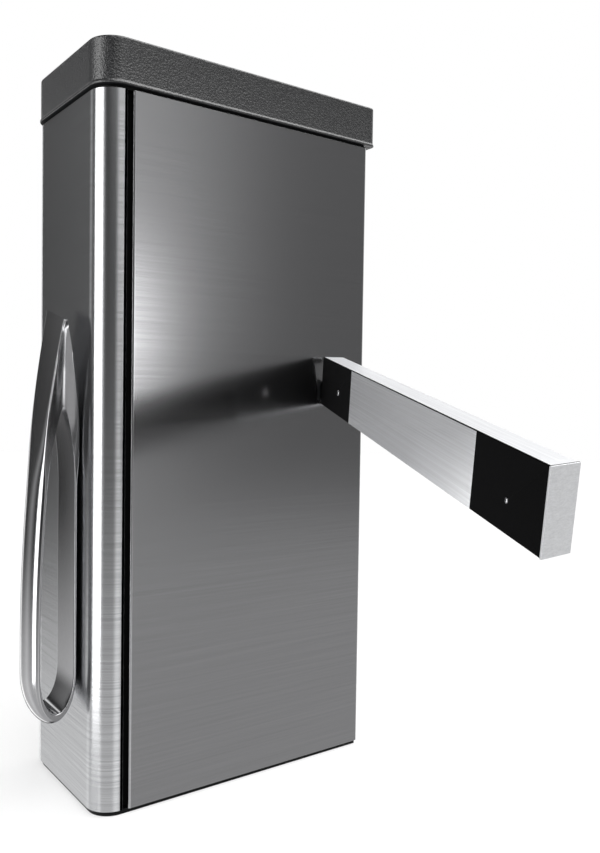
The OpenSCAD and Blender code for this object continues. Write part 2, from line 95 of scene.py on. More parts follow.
def add(tree: NodeTree, kind: str, settings: dict | None = None, links: dict | None = None) -> Node:
    """Adds one node with its settings and links.

    Args:
        tree: The node tree that gets it.
        kind: The node's type name, without "ShaderNode".
        settings: Attributes by name, and socket values by socket name or number.
        links: The output that feeds each input, by input name or number.

    Returns:
        The new node.
    """
    node = tree.nodes.new("ShaderNode" + kind)
    for key, value in (settings or {}).items():
        if isinstance(key, str) and hasattr(node, key):
            setattr(node, key, value)
        else:
            node.inputs[key].default_value = value
    for key, output in (links or {}).items():
        tree.links.new(output, node.inputs[key])
    return node


def blank_material(name: str) -> tuple[Material, NodeTree]:
    """Makes an empty node material and returns it with its tree."""
    material = bpy.data.materials.new(name)
    material.use_nodes = True
    material.node_tree.nodes.clear()
    return material, material.node_tree


def finish_tree(tree: NodeTree, shader: Node) -> None:
    """Links a shader to the tree's surface output."""
    add(tree, "OutputMaterial", links={"Surface": shader.outputs[0]})


def tinted(
    tree: NodeTree,
    colour: str,
    pattern: NodeSocket,
    tones: tuple[float, float],
    span: tuple[float, float] = NOISE_SPAN,
) -> NodeSocket:
    """Scales a colour by a pattern.

    Args:
        tree: The material's node tree.
        colour: The sRGB hex colour.
        pattern: The output that varies over the surface.
        tones: The colour's scale at both ends of the span.
        span: The pattern's values at those ends.

    Returns:
        The colour output.
    """
    tone = add(tree, "MapRange", dict(zip(RANGE, span + tones)), {"Value": pattern})
    settings = {"operation": "SCALE", 0: linear(colour)[:3]}
    return add(tree, "VectorMath", settings, {"Scale": tone.outputs[0]}).outputs[0]


# ------------------------------------------------------------------ finishes


class Grain(Enum):
    """Which way the lines of a brushed metal run."""

    LEVEL = "level"
    ALONG_ARM = "along the arm"
    ACROSS_ARM = "across the arm"
    NONE = "none"


def arm_turn() -> tuple[float, float, float]:
    """Euler angles of the arm's own frame, from the long axis of its side plates."""
    verts = frame["nodes"]["arm_side_plates"].data.vertices
    points = np.empty(len(verts) * 3)
    verts.foreach_get("co", points)
    points = points.reshape(-1, 3)
    axes = np.linalg.svd(points - points.mean(0), full_matrices=False)[2]
    along = axes[0] * np.sign(axes[0][0])
    return 0.0, math.asin(-along[2]), math.atan2(along[1], along[0])


def arm_origin() -> tuple[float, float, float]:
    """Place of the arm frame's origin: the middle of the box section at its root end."""
    low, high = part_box("tilt_pin")
    turned = Euler(arm_turn()).to_matrix() @ Vector((PIN_IN_ARM[0] * MM, 0.0, PIN_IN_ARM[1] * MM))
    return tuple((Vector(low) + Vector(high)) / 2 - turned)


def from_arm(points: np.ndarray) -> np.ndarray:
    """Carries points in millimetres in the arm's own frame to metres in the cabinet's."""
    turn = np.array(Euler(arm_turn()).to_matrix())
    return points @ turn.T * MM + np.array(arm_origin())


@dataclass(frozen=True)
class Finish:
    """A finish of one colour: its material's name and its sRGB hex code."""

    name: str
    colour: str

    def shade(self, tree: NodeTree, place: NodeSocket) -> Node:
        """The finish's shader, laid out by object coordinates."""
        raise NotImplementedError

    def build(self) -> Material:
        """Makes the material round the shader."""
        material, tree = blank_material(self.name)
        finish_tree(tree, self.shade(tree, add(tree, "TexCoord").outputs["Object"]))
        return material


@dataclass(frozen=True)
class BrushedMetal(Finish):
    """Metal rubbed one way by a belt: fine lines, and gloss drawn out across them.

    Spacing is between lines and run is along one, both in metres. Relief is
    the bump's strength. Hollow is the half width and half height of a bore
    whose inside is painted dull black as its shade.
    """

    roughness: float = 0.30
    anisotropy: float = 0.0
    grain: Grain = Grain.LEVEL
    spacing: float = 1.4 * MM
    run: float = 110 * MM
    contrast: float = 0.16
    metallic: float = 1.0
    relief: float = 0.012
    hollow: tuple | None = None

    def line_size(self) -> tuple[float, float, float]:
        """Length of the grain pattern along each axis of its own frame."""
        long, fine = self.run, self.spacing
        return {
            Grain.LEVEL: (long, long, fine),
            Grain.ALONG_ARM: (long, fine, fine),
            Grain.ACROSS_ARM: (fine, long, fine),
            Grain.NONE: (fine * 3, fine * 3, fine * 3),
        }[self.grain]

    def turn(self) -> tuple[float, float, float]:
        """Euler angles of the grain's frame."""
        return arm_turn() if self.grain in (Grain.ALONG_ARM, Grain.ACROSS_ARM) else (0.0, 0.0, 0.0)

    def outside_bore(self, tree: NodeTree, place: NodeSocket) -> NodeSocket:
        """An output that is one outside the arm's bore and zero within it, from object coordinates."""
        turn = {"vector_type": "TEXTURE", "Location": arm_origin(), "Rotation": arm_turn()}
        local = add(tree, "Mapping", turn, {"Vector": place})
        parts = add(tree, "SeparateXYZ", links={0: local.outputs[0]})
        shares = {}
        for k, (output, half) in enumerate(zip(parts.outputs[1:], self.hollow)):
            size = add(tree, "Math", {"operation": "ABSOLUTE"}, {0: output})
            shares[k] = add(tree, "Math", {"operation": "DIVIDE", 1: half}, {0: size.outputs[0]}).outputs[0]
        reach = add(tree, "Math", {"operation": "MAXIMUM"}, shares)
        return add(tree, "Math", {"operation": "GREATER_THAN", 1: 1.0}, {0: reach.outputs[0]}).outputs[0]

    def painted_bore_shade(self, tree: NodeTree, place: NodeSocket, look: dict) -> dict:
        """Swaps the metal inside the bore for dull black: painted shade in the hollow.

        Args:
            tree: The material's node tree.
            place: Object coordinates.
            look: The outputs of the metal, by shader input.

        Returns:
            The outputs that take their place.
        """
        outside = self.outside_bore(tree, place)
        metal = add(tree, "Math", {"operation": "MULTIPLY", 1: self.metallic}, {0: outside})
        rough = add(tree, "Mix", {"data_type": "FLOAT", 2: 0.95}, {0: outside, 3: look["Roughness"]})
        keep = add(tree, "MapRange", {"To Min": 0.01, "To Max": 1.0}, {"Value": outside})
        dark = {0: look["Base Color"], "Scale": keep.outputs[0]}
        tint = add(tree, "VectorMath", {"operation": "SCALE"}, dark)
        return {"Metallic": metal.outputs[0], "Roughness": rough.outputs[0], "Base Color": tint.outputs[0]}

    def shade(self, tree: NodeTree, place: NodeSocket) -> Node:
        """Two layers of stretched noise, fine lines over broad bands, tint and roughen the metal."""
        layers = []
        for factor, detail in ((1.0, 3.0), (2.6, 2.0)):
            size = tuple(s * factor if s < self.run else s * 2 for s in self.line_size())
            settings = {"vector_type": "TEXTURE", "Rotation": self.turn(), "Scale": size}
            lines = add(tree, "Mapping", settings, {"Vector": place})
            settings = {"Scale": 1.0, "Detail": detail, "Roughness": 0.6}
            layers.append(add(tree, "TexNoise", settings, {"Vector": lines.outputs[0]}).outputs["Fac"])
        both = add(tree, "Mix", {"data_type": "FLOAT", 0: 0.4}, {2: layers[0], 3: layers[1]}).outputs[0]
        ends = (*NOISE_SPAN, self.roughness * 1.12, self.roughness * 0.9)
        rough = add(tree, "MapRange", dict(zip(RANGE, ends)), {"Value": both})
        settings = {"Strength": self.relief, "Distance": self.spacing * 0.2}
        bump = add(tree, "Bump", settings, {"Height": both})
        look = {
            "Base Color": tinted(tree, self.colour, both, (1 - self.contrast, 1 + self.contrast * 0.4)),
            "Roughness": rough.outputs[0],
            "Normal": bump.outputs[0],
        }
        # Painted shade: inside the bore the metal turns dull black.
        if self.hollow:
            look |= self.painted_bore_shade(tree, place, look)
        settings = {"Metallic": self.metallic, "Anisotropic": self.anisotropy}
        shader = add(tree, "BsdfPrincipled", settings, look)
        if self.anisotropy > 0:
            tangent = add(tree, "Tangent", {"direction_type": "UV_MAP", "uv_map": UV_NAME})
            tree.links.new(tangent.outputs[0], shader.inputs["Tangent"])
        return shader


@dataclass(frozen=True)
class GrainedMoulding(Finish):
    """Moulded plastic from a textured tool: small pebbles that break the gloss into specks."""

    roughness: float = 0.42
    pebble: float = 2.2 * MM
    depth: float = 0.10 * MM
    strength: float = 0.6
    gloss: float = 0.5

    def shade(self, tree: NodeTree, place: NodeSocket) -> Node:
        """Cells of smooth Voronoi stand as pebbles, and their valleys are painted a little darker as shade.
        """
        stir = add(tree, "TexNoise", {"Scale": 0.4 / self.pebble, "Detail": 2.0}, {"Vector": place})
        moved = add(tree, "Mix", {"data_type": "VECTOR", 0: 0.002}, {4: place, 5: stir.outputs["Color"]})
        settings = {"feature": "SMOOTH_F1", "Scale": 1 / self.pebble, "Smoothness": 0.35}
        cells = add(tree, "TexVoronoi", settings, {"Vector": moved.outputs[1]})
        fine = add(tree, "TexNoise", {"Scale": 2.5 / self.pebble, "Detail": 3.0}, {"Vector": place})
        stack = {0: fine.outputs["Fac"], 2: cells.outputs["Distance"]}
        sunk = add(tree, "Math", {"operation": "MULTIPLY_ADD", 1: 0.35}, stack).outputs[0]
        raised = add(tree, "Math", {"operation": "SUBTRACT", 0: 1.0}, {1: sunk}).outputs[0]
        bump = add(tree, "Bump", {"Strength": self.strength, "Distance": self.depth}, {"Height": raised})
        # Painted shade: the deeper the valley between pebbles, the darker the colour.
        tint = tinted(tree, self.colour, sunk, (1.15, 0.75), (0.2, 1.0))
        settings = {"Roughness": self.roughness, "Specular IOR Level": self.gloss, "IOR": 1.5}
        return add(tree, "BsdfPrincipled", settings, {"Base Color": tint, "Normal": bump.outputs[0]})


@dataclass(frozen=True)
class Coat(Finish):
    """Paint, rubber or plain plastic: an even colour with a faint orange-peel skin."""

    roughness: float = 0.5
    gloss: float = 0.5
    peel: float = 1.5 * MM
    strength: float = 0.15

    def shade(self, tree: NodeTree, place: NodeSocket) -> Node:
        """Noise gives a soft mottle in tone, roughness and height."""
        bumps = add(tree, "TexNoise", {"Scale": 1 / self.peel, "Detail": 3.0}, {"Vector": place})
        skin = bumps.outputs["Fac"]
        cloud = add(tree, "TexNoise", {"Scale": 1 / (60 * MM), "Detail": 2.0}, {"Vector": place})
        ends = (*NOISE_SPAN, self.roughness * 0.9, min(1.0, self.roughness * 1.1))
        rough = add(tree, "MapRange", dict(zip(RANGE, ends)), {"Value": skin})
        bump = add(tree, "Bump", {"Strength": self.strength, "Distance": self.peel * 0.1}, {"Height": skin})
        look = {
            "Base Color": tinted(tree, self.colour, cloud.outputs["Fac"], (0.9, 1.08)),
            "Roughness": rough.outputs[0],
            "Normal": bump.outputs[0],
        }
        return add(tree, "BsdfPrincipled", {"Specular IOR Level": self.gloss}, look)


@dataclass(frozen=True)
class Spangle(Finish):
    """Hot-dip galvanised sheet: zinc crystals, each with its own tone and dullness."""

    crystal: float = 9 * MM

    def shade(self, tree: NodeTree, place: NodeSocket) -> Node:
        """The random colour of each Voronoi cell sets the tone of one crystal."""
        cells = add(tree, "TexVoronoi", {"Scale": 1 / self.crystal}, {"Vector": place})
        level = add(tree, "SeparateColor", links={0: cells.outputs["Color"]})
        tint = tinted(tree, self.colour, level.outputs[0], (0.8, 1.1), (0.0, 1.0))
        rough = add(tree, "MapRange", {"To Min": 0.38, "To Max": 0.55}, {"Value": level.outputs[1]})
        look = {"Base Color": tint, "Roughness": rough.outputs[0]}
        return add(tree, "BsdfPrincipled", {"Metallic": 1.0}, look)


@dataclass(frozen=True)
class SolderMask(Finish):
    """Green circuit board: lacquer over copper tracks that show a little lighter."""

    track_colour: str
    pitch: float = 5 * MM

    def shade(self, tree: NodeTree, place: NodeSocket) -> Node:
        """Brick joints stand for the tracks under the lacquer."""
        turned = add(tree, "Mapping", {"Rotation": (0.0, math.pi / 2, 0.0)}, {"Vector": place})
        lacquer = linear(self.colour)
        settings = {"Scale": 1 / self.pitch, "Mortar Size": 0.06, "Brick Width": 1.7, "Row Height": 0.5}
        settings |= {"Color1": lacquer, "Color2": lacquer, "Mortar": linear(self.track_colour)}
        tracks = add(tree, "TexBrick", settings, {"Vector": turned.outputs[0]})
        return add(tree, "BsdfPrincipled", {"Roughness": 0.28}, {"Base Color": tracks.outputs[0]})


# One finish for each material slot of the record.
FINISHES = {
    # Door sheet: level belt lines 1.6 mm apart, and a hard bright band drawn up the round corner.
    "brushed_stainless": BrushedMetal(
        "stainless_belt_brushed", "#d6d7d9", 0.23, 0.7, contrast=0.24, spacing=1.6 * MM, relief=0.008
    ),
    # Side panels: finer lines 1.3 mm apart, so faint that the panel reads as a dim mirror.
    "panel_stainless": BrushedMetal(
        "stainless_fine_brushed", "#bfbfc1", 0.17, 0.5, contrast=0.09, spacing=1.3 * MM, relief=0.008
    ),
    # Handle, lock and pin heads: buffed, with a 4 mm cloudiness and clean streaks of light.
    "polished_stainless": BrushedMetal(
        "stainless_satin_polished", "#b6b6b8", 0.15, grain=Grain.NONE, contrast=0.04, relief=0.004
    ),
    # Arm: pale satin with lines 1.2 mm apart along it; its bore is 26.4 x 68.8 mm and painted black as
    # shade.
    "brushed_aluminium": BrushedMetal(
        "aluminium_anodised_brushed",
        "#eeeff1",
        0.47,
        grain=Grain.ALONG_ARM,
        contrast=0.20,
        spacing=1.2 * MM,
        metallic=0.86,
        hollow=(13.2 * MM, 34.4 * MM),
    ),
    # Cap: leather-like pebbles 2.4 mm across and 0.42 mm deep that catch light as specks.
    "moulded_cap": GrainedMoulding(
        "abs_grained_moulding", "#1b1c1e", 0.34, 2.4 * MM, 0.42 * MM, 0.9, 1.0
    ),
    # Base, deck, bracket and carrier: soft black paint with 1.5 mm orange peel.
    "black_powder_coat": Coat("powder_coat_black", "#0a0b0c", 0.5, 0.2),
    # Inner frame: dark grey enamel, a step lighter than the powder coat, 1.5 mm peel.
    "chassis_paint": Coat("chassis_enamel", "#2b2d2f", 0.45),
    # Arm pads: near-black and dull, with 1.6 mm pebbles 0.1 mm deep that barely show.
    "pad_black": GrainedMoulding("pad_black_moulding", "#070708", 0.75, 1.6 * MM, 0.1 * MM, 0.5, 0.07),
    # Seals, and the arm's joint fillets that paint the shade in its joints: the darkest piece, with no
    # highlight to speak of, 1.5 mm mottle.
    "seal_rubber": Coat("seal_rubber", "#040404", 0.85, 0.05, strength=0.3),
    # Fasteners and pins: bluish grey, with 4 mm clouding in place of lines.
    "zinc_steel": BrushedMetal("steel_zinc_plated", "#b9bbbf", 0.32, grain=Grain.NONE, contrast=0.08),
    # Equipment plate and supply: a patchwork of zinc crystals 9 mm across.
    "galvanised_sheet": Spangle("steel_galvanised", "#9da1a4"),
    # Bushes: dull warm brown with 4 mm clouding.
    "bronze": BrushedMetal("bronze_sintered", "#a5803f", 0.42, grain=Grain.NONE, contrast=0.10),
    # Control board: glossy green lacquer with lighter lines every 5 mm.
    "board_green": SolderMask("board_solder_mask", "#14532f", "#1f7242"),
    # Terminal block: matt grey-beige plastic, 1.5 mm peel.
    "terminal_plastic": Coat("polyamide_grey", "#c9c4b4", 0.45),
    # Cable gland and door catch: black plastic with a little sheen, 1.5 mm peel.
    "gland_plastic": Coat("polyamide_black", "#17181a", 0.5),
    # Board spacers: bright yellow turned metal, 4 mm clouding.
    "brass_spacer": BrushedMetal("brass_turned", "#c79c4a", 0.28, grain=Grain.NONE, contrast=0.06),
}


@dataclass
class Palette:
    """Builds each finish once, when its slot is first asked for."""

    made: dict = field(default_factory=dict)

    def material(self, slot: str) -> Material:
        """The material of a slot, built when first asked for."""
        if slot not in self.made:
            self.made[slot] = FINISHES[slot].build()
        return self.made[slot]


# ------------------------------------------------------------------ surfaces


def outward(mesh: Mesh) -> None:
    """Turns the faces of a closed mesh outwards."""
    work = bmesh.new()
    work.from_mesh(mesh)
    bmesh.ops.recalc_face_normals(work, faces=work.faces)
    work.to_mesh(mesh)
    work.free()


def grid_faces(rows: int, columns: int, wrap_rows: bool, wrap_columns: bool) -> np.ndarray:
    """Corner numbers of the quads of a grid, row by row.

    Args:
        rows: Number of points along the first parameter.
        columns: Number of points along the second one.
        wrap_rows: Whether the last row joins the first.
        wrap_columns: Whether the last column joins the first.

    Returns:
        An array of four corner numbers for each quad.
    """
    i = np.arange(rows if wrap_rows else rows - 1)[:, None]
    j = np.arange(columns if wrap_columns else columns - 1)[None, :]
    near, far = i * columns, ((i + 1) % rows) * columns
    right = (j + 1) % columns
    return np.stack([near + j, near + right, far + right, far + j], -1).reshape(-1, 4)


def new_piece(name: str, points: np.ndarray, faces: list, sharp: float = 32.0) -> Object:
    """Puts points and faces into a new object, smooth but for edges sharper than an angle.

    Args:
        name: The piece's name.
        points: Vertex places in metres, three numbers each.
        faces: Corner numbers of each face.
        sharp: The angle in degrees over which an edge stays sharp.

    Returns:
        The new object, at the origin.
    """
    mesh = bpy.data.meshes.new(name)
    mesh.from_pydata(points.reshape(-1, 3).tolist(), [], faces)
    mesh.update()
    mesh.shade_smooth()
    mesh.set_sharp_from_angle(angle=math.radians(sharp))
    piece = bpy.data.objects.new(name, mesh)
    bpy.context.scene.collection.objects.link(piece)
    return piece


def give_uv(piece: Object, uv: np.ndarray) -> None:
    """Writes a UV map from one pair of numbers for each vertex."""
    mesh = piece.data
    corner = np.empty(len(mesh.loops), dtype=np.int32)
    mesh.loops.foreach_get("vertex_index", corner)
    layer = mesh.uv_layers.new(name=UV_NAME)
    layer.uv.foreach_set("vector", uv.reshape(-1, 2)[corner].astype(np.float32).ravel())


def break_edges(piece: Object, width: float, angle: float) -> None:
    """Bevels edges sharper than an angle in degrees, by a width in millimetres."""
    edge = piece.modifiers.new("broken_edges", "BEVEL")
    edge.width = width * MM
    edge.segments = 2
    edge.limit_method = "ANGLE"
    edge.angle_limit = math.radians(angle)
    edge.harden_normals = True


def smooth(share: np.ndarray) -> np.ndarray:
    """Eases a share from zero to one in and out."""
    return share * share * (3 - 2 * share)


def settle(piece: Object, body: str, slot: str, palette: Palette, *nodes: str) -> Object:
    """Dresses a new piece, rides it on its body and lets it stand for its CAD nodes.

    Args:
        piece: The new piece.
        body: The moving body that carries it.
        slot: Its material slot.
        palette: Where the slot's material comes from.
        *nodes: The CAD nodes that it replaces.

    Returns:
        The same piece.
    """
    piece.data.materials.clear()
    piece.data.materials.append(palette.material(slot))
    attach(piece, body)
    if nodes:
        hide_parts(*nodes)
    LOG.info("%s rides on %s, %d faces", piece.name, body, len(piece.data.polygons))
    return piece


def box_mm(node: str) -> tuple[np.ndarray, np.ndarray]:
    """A CAD node's lowest and highest corners in millimetres."""
    low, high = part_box(node)
    return np.array(low) / MM, np.array(high) / MM


def arc(centre: tuple, radius: tuple, start: float, end: float, steps: int) -> np.ndarray:
    """Points on an ellipse: the centre plus the radii times cosine and sine of an angle in degrees."""
    turn = np.radians(np.linspace(start, end, steps + 1))
    return np.stack([centre[0] + radius[0] * np.cos(turn), centre[1] + radius[1] * np.sin(turn)], -1)


def bent_path(corners: list, bends: list, support: float = 1.0, steps: int = 10) -> np.ndarray:
    """A polyline whose inner corners are rounded, with a support point beside each bend.

    Each corner is replaced by the circle that touches both of its sides, and
    a point is kept a little way along each straight, so that the flat faces
    shade flat right up to the bend.

    Args:
        corners: The polyline's points in millimetres.
        bends: A radius for each inner corner.
        support: How far the support point stands from the bend.
        steps: Number of chords for a right-angled bend.

    Returns:
        The points of the path, in order.
    """
    places = np.array(corners, float)
    path = [places[0]]
    for k, radius in enumerate(bends, start=1):
        before, here, after = places[k - 1], places[k], places[k + 1]
        a = (before - here) / np.linalg.norm(before - here)
        b = (after - here) / np.linalg.norm(after - here)
        half = math.acos(float(np.clip(a @ b, -1, 1))) / 2
        reach = radius / math.tan(half)
        centre = here + (a + b) / np.linalg.norm(a + b) * radius / math.sin(half)
        first, last = here + a * reach - centre, here + b * reach - centre
        start = math.degrees(math.atan2(first[1], first[0]))
        sweep = (math.degrees(math.atan2(last[1], last[0])) - start + 180) % 360 - 180
        count = max(3, round(steps * abs(sweep) / 90 * (2.4 if radius > 10 else 1)))
        path.append(here + a * (reach + support))
        path.extend(arc(tuple(centre), (radius, radius), start, start + sweep, count))
        path.append(here + b * (reach + support))
    path.append(places[-1])
    return np.array(path)


@dataclass
class FoldedSheet:
    """A sheet bent along upright folds: a path in plan carried straight up.

    The surface point is (path x, path y, height), so it is a grid of path
    points by heights. Solidify gives it its thickness and Bevel its broken
    edges. The first UV number runs up the sheet, across its brushed lines.
    """

    name: str
    path: np.ndarray
    bottom: float
    top: float
    thickness: float
    window: tuple | None = None
    edge: float = 0.35

    def heights(self) -> np.ndarray:
        """Heights of the grid's rows: the ends, a support row by each, and the window's sides."""
        rows = [self.bottom, self.bottom + 1, self.top - 1, self.top]
        if self.window:
            rows += [self.window[2], self.window[3]]
        return np.array(sorted(rows))

    def build(self) -> Object:
        """Makes the sheet, without the quads that lie in its window."""
        rows = self.heights()
        length = np.concatenate([[0], np.cumsum(np.linalg.norm(np.diff(self.path, axis=0), axis=1))])
        x, z = np.broadcast_arrays(self.path[None, :, 0], rows[:, None])
        y = np.broadcast_to(self.path[None, :, 1], x.shape)
        points = np.stack([x, y, z], -1)
        faces = grid_faces(len(rows), len(self.path), False, False)
        if self.window:
            middle = points.reshape(-1, 3)[faces].mean(1)
            y0, y1, z0, z1 = self.window
            inside = (middle[:, 1] > y0) & (middle[:, 1] < y1) & (middle[:, 2] > z0) & (middle[:, 2] < z1)
            inside &= np.ptp(points.reshape(-1, 3)[faces][:, :, 0], axis=1) < 0.01
            faces = faces[~inside]
        piece = new_piece(self.name, points * MM, faces.tolist())
        run = np.broadcast_to(length[None, :], x.shape)
        give_uv(piece, np.stack([z, run], -1) * MM)
        shell = piece.modifiers.new("thickness", "SOLIDIFY")
        shell.thickness = self.thickness * MM
        shell.offset = -1
        shell.use_even_offset = True
        break_edges(piece, self.edge, 50)
        return piece


# ------------------------------------------------------------------ sub-assemblies


@dataclass
class Cap:
    """The moulded cap: one section carried round the cabinet's rounded plan."""

    palette: Palette
    front_radius: float = 38.0
    rear_radius: float = 9.0
    top_radius: float = 3.0
    bead: float = 1.4
    bead_height: float = 5.5
    wall: float = 11.0
    roof: float = 5.0

    def section(self) -> np.ndarray:
        """The section as (distance in from the outer face, height), from the inner roof round to the top.

        Up from the lip the face is a bead, a soft hollow that meets the wall,
        the upright wall and a round top edge.
        """
        low, high = box_mm("cap")
        foot, head = low[2], high[2]
        lip = arc((1.2, foot + 1.5), (1.5, 1.5), -90, -180, 5)
        rise = np.linspace(0, 1, 8)[1:]
        climb = (self.bead_height - 1.5) * rise
        hollow = np.stack([-0.3 + self.bead * smooth(rise), foot + 1.5 + climb], -1)
        r = self.top_radius
        shoulder = arc((self.bead - 0.3 + r, head - r), (r, r), 180, 90, 8)
        return np.concatenate(
            [
                [(self.wall, head - self.roof), (self.wall, foot + 0.5)],
                [(self.wall - 0.5, foot), (1.8, foot)],
                lip,
                hollow,
                [(self.bead - 0.3, head - r - 1)],
                shoulder,
                [(self.bead - 0.3 + r + 1, head)],
            ]
        )

    def plan(self) -> tuple[np.ndarray, np.ndarray, np.ndarray]:
        """Points round the plan, their outward directions and the corner radius behind each point."""
        low, high = box_mm("cap")
        corners = [
            (high[0], low[1], self.front_radius, -90),
            (high[0], high[1], self.rear_radius, 0),
            (low[0], high[1], self.rear_radius, 90),
            (low[0], low[1], self.front_radius, 180),
        ]
        centres, ways, radii = [], [], []
        for x, y, radius, start in corners:
            centre = np.array([x - math.copysign(radius, x), y - math.copysign(radius, y)])
            turn = np.radians(np.linspace(start, start + 90, 17))
            way = np.stack([np.cos(turn), np.sin(turn)], -1)
            tangent = np.array([-way[0][1], way[0][0]])
            ends = np.stack([centre - tangent, centre + np.array([-way[-1][1], way[-1][0]])])
            centres.append(np.concatenate([ends[:1], np.repeat(centre[None], 17, 0), ends[1:]]))
            ways.append(np.concatenate([way[:1], way, way[-1:]]))
            radii.append(np.full(19, radius))
        return np.concatenate(centres), np.concatenate(ways), np.concatenate(radii)

    def build(self) -> Object:
        """Each point is its corner's centre plus its outward way times the radius less the inset."""
        centres, ways, radii = self.plan()
        section = self.section()
        out = radii[None, :] - section[:, 0][:, None]
        out = np.where(radii[None, :] > 20, out, np.maximum(out, 0.4))
        inset = np.maximum(0, section[:, 0][:, None] - radii[None, :] + 0.4)
        flat = centres[None] + ways[None] * out[..., None]
        pull = np.where(radii < 20, 1.0, 0.0)[None, :] * inset
        signs = np.sign(centres)[None]
        flat = flat - signs * pull[..., None]
        height = np.broadcast_to(section[:, 1][:, None], out.shape)
        points = np.concatenate([flat, height[..., None]], -1) * MM
        rows, columns = out.shape
        faces = grid_faces(rows, columns, False, True).tolist()
        faces.append(list(range(columns)))
        faces.append(list(range((rows - 1) * columns, rows * columns)))
        piece = new_piece("cap_moulding", points, faces, 40)
        outward(piece.data)
        return settle(piece, BODY_OF["cap"], "moulded_cap", self.palette, "cap")


@dataclass
class Door:
    """The wrap-round front door: a sheet folded to a C, with its end plates and strike."""

    palette: Palette
    corner: float = 35.0
    sheet: float = 2.0
    fold: float = 2.5
    near_flange: float = 16.0
    hinge_flange: float = 10.0

    def build(self) -> Object:
        """Replaces the CAD shell by a finely folded one."""
        low, high = box_mm("door_shell")
        corners = [
            (low[0] + self.hinge_flange, high[1]),
            (low[0], high[1]),
            (low[0], low[1]),
            (high[0], low[1]),
            (high[0], high[1]),
            (high[0] - self.near_flange, high[1]),
        ]
        path = bent_path(corners, [self.fold, self.corner, self.corner, self.fold])
        shell = FoldedSheet("door_skin", path, low[2], high[2], self.sheet)
        return settle(shell.build(), BODY_OF["door_shell"], "brushed_stainless", self.palette, "door_shell")


@dataclass
class SidePanels:
    """The two flat side panels, folded round at their front and rear edges."""

    palette: Palette
    sheet: float = 2.0
    flange: float = 16.0
    fold: float = 3.0
    window_half: tuple = (12.5, 14.0)

    def panel(self, node: str, side: int, window: tuple | None) -> Object:
        """One panel; side is 1 for the one with the arm and -1 for the other."""
        low, high = box_mm(node)
        outer = high[0] if side > 0 else low[0]
        inner = outer - side * self.flange
        corners = [(inner, low[1]), (outer, low[1]), (outer, high[1]), (inner, high[1])]
        path = bent_path(corners, [self.fold, self.fold])
        if side < 0:
            path = path[::-1]
        if window:
            marks = np.array([[outer, y] for y in window[:2]])
            spot = len(path) // 2
            path = np.concatenate([path[:spot], marks, path[spot:]])
        sheet = FoldedSheet(node + "_skin", path, low[2], high[2], self.sheet, window)
        return settle(sheet.build(), BODY_OF[node], "panel_stainless", self.palette, node)

    def build(self) -> None:
        """Both panels; the neck of the pivot passes through the right one's window."""
        low, high = box_mm("swing_pin")
        y, z = (low[1] + high[1]) / 2, (low[2] + high[2]) / 2
        half_y, half_z = self.window_half
        self.panel("side_panel_right", 1, (y - half_y, y + half_y, z - half_z, z + half_z))
        self.panel("side_panel_left", -1, None)


